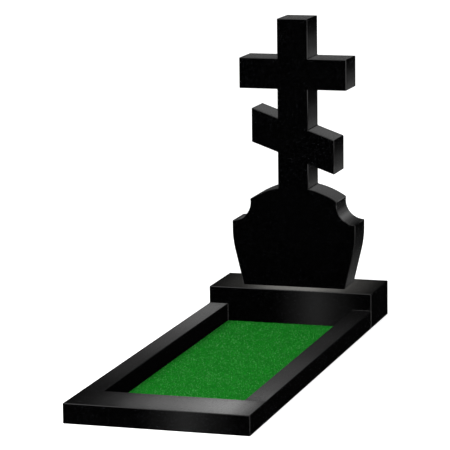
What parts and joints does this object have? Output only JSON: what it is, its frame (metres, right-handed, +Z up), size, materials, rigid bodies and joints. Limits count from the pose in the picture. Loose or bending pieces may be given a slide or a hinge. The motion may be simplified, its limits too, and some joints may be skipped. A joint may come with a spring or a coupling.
{
  "type": "upright headstone with kerb surround",
  "caption": "Polished black granite headstone cut as an eight-ended cross over a domed body, on a plinth, with a kerb surround and turf bed.",
  "frame": {"origin": "on the ground, in the middle of the whole footprint of plinth and kerb", "axes": "+X to the right as seen from the front, +Y towards the back (the headstone stands at the +Y end and its face looks along -Y), +Z up"},
  "size_m": [0.6, 1.75, 1.0903],
  "materials": {
    "granite": "polished black granite with a fine dark grain",
    "turf": "short even green turf"
  },
  "bodies": {
    "root": {"stele": "granite", "plinth": "granite", "kerb_left": "granite", "kerb_right": "granite", "kerb_front": "granite", "turf": "turf"}
  },
  "joints": []
}
